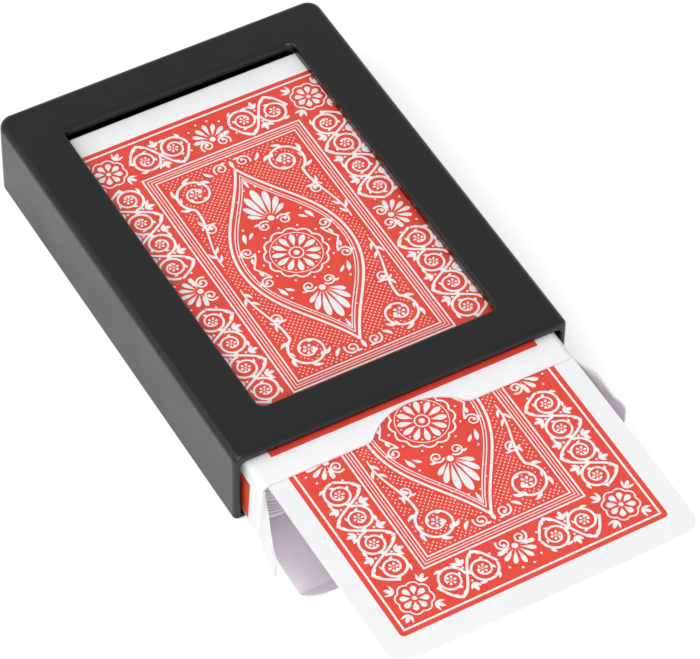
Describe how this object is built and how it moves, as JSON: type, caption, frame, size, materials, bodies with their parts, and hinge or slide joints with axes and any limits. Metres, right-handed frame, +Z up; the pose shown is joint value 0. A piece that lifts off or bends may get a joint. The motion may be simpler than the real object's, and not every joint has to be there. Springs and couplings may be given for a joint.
{
  "type": "playing card box with drawer",
  "caption": "Sliding playing card box: a black windowed sleeve over a folded card case that slides like a drawer, open at its lid, with a deck and one card drawn out.",
  "frame": {"origin": "centre of the flat underside of the sleeve", "axes": "+Z up, out of the window; +Y towards the sleeve's closed end, so its mouth and the drawn card face -Y; +X to the right seen from the mouth"},
  "size_m": [0.0736, 0.1468, 0.0174],
  "materials": {
    "sleeve_plastic": "satin-gloss moulded black plastic",
    "printed_board": "white paperboard printed with a red ornamental panel, light varnish",
    "white_board": "plain white paperboard",
    "card_stock": "smooth white card stock",
    "printed_card": "smooth card stock with a red ornamental back and white border"
  },
  "bodies": {
    "sleeve": {"sleeve_shell": "sleeve_plastic"},
    "drawer": {"case_top_panel": "printed_board", "case_bottom_panel": "white_board", "case_left_side": "white_board", "case_right_side": "white_board", "case_glue_tab": "white_board", "case_end_panel": "white_board", "case_end_lining": "white_board", "case_end_left_flap": "white_board", "case_end_right_flap": "white_board"},
    "deck": {"deck_card_01": "card_stock", "deck_card_02": "card_stock", "deck_card_03": "card_stock", "deck_card_04": "card_stock", "deck_card_05": "card_stock", "deck_card_06": "card_stock", "deck_card_07": "card_stock", "deck_card_08": "card_stock", "deck_card_09": "card_stock", "deck_card_10": "card_stock", "deck_card_11": "card_stock", "deck_card_12": "card_stock", "deck_card_13": "card_stock", "deck_card_14": "card_stock", "deck_card_15": "card_stock", "deck_card_16": "card_stock", "deck_card_17": "card_stock", "deck_card_18": "card_stock", "deck_card_19": "card_stock", "deck_card_20": "card_stock", "deck_card_21": "card_stock", "deck_card_22": "card_stock", "deck_card_23": "card_stock", "deck_card_24": "card_stock", "deck_card_25": "card_stock", "deck_card_26": "card_stock", "deck_card_27": "card_stock", "deck_card_28": "card_stock", "deck_card_29": "card_stock", "deck_card_30": "card_stock", "deck_card_31": "card_stock", "deck_card_32": "card_stock", "deck_card_33": "card_stock", "deck_card_34": "card_stock", "deck_card_35": "card_stock", "deck_card_36": "card_stock", "deck_card_37": "card_stock", "deck_card_38": "card_stock", "deck_card_39": "card_stock", "deck_card_40": "card_stock", "deck_card_41": "card_stock", "deck_card_42": "card_stock", "deck_card_43": "card_stock", "deck_card_44": "card_stock"},
    "top_card": {"drawn_card": "printed_card"},
    "lid": {"lid_flap": "white_board"},
    "tuck": {"tuck_flap": "white_board"},
    "left_dust": {"left_dust_flap": "white_board"},
    "right_dust": {"right_dust_flap": "white_board"}
  },
  "joints": [
    {"name": "drawer_slide", "type": "slide", "parent": "sleeve", "child": "drawer", "axis": [0, -1, 0], "range_m": [-0.0063, 0.0835]},
    {"name": "deck_slide", "type": "slide", "parent": "drawer", "child": "deck", "axis": [0, -1, 0], "range_m": [0, 0.0019]},
    {"name": "card_slide", "type": "slide", "parent": "drawer", "child": "top_card", "axis": [0, -1, 0], "range_m": [-0.0464, 0.044]},
    {"name": "lid_hinge", "type": "hinge", "parent": "drawer", "child": "lid", "pos_m": [0, -0.0547, 0.0012], "axis": [-1, 0, 0], "range_deg": [-82, 3]},
    {"name": "tuck_hinge", "type": "hinge", "parent": "lid", "child": "tuck", "pos_m": [0, -0.06892, 0.0003], "axis": [-1, 0, 0], "range_deg": [-140, 3]},
    {"name": "left_dust_hinge", "type": "hinge", "parent": "drawer", "child": "left_dust", "pos_m": [-0.0323, -0.0547, 0.00825], "axis": [0, 0, 1], "range_deg": [-61.5, 107.5]},
    {"name": "right_dust_hinge", "type": "hinge", "parent": "drawer", "child": "right_dust", "pos_m": [0.0323, -0.0547, 0.00825], "axis": [0, 0, -1], "range_deg": [-55, 114]}
  ]
}
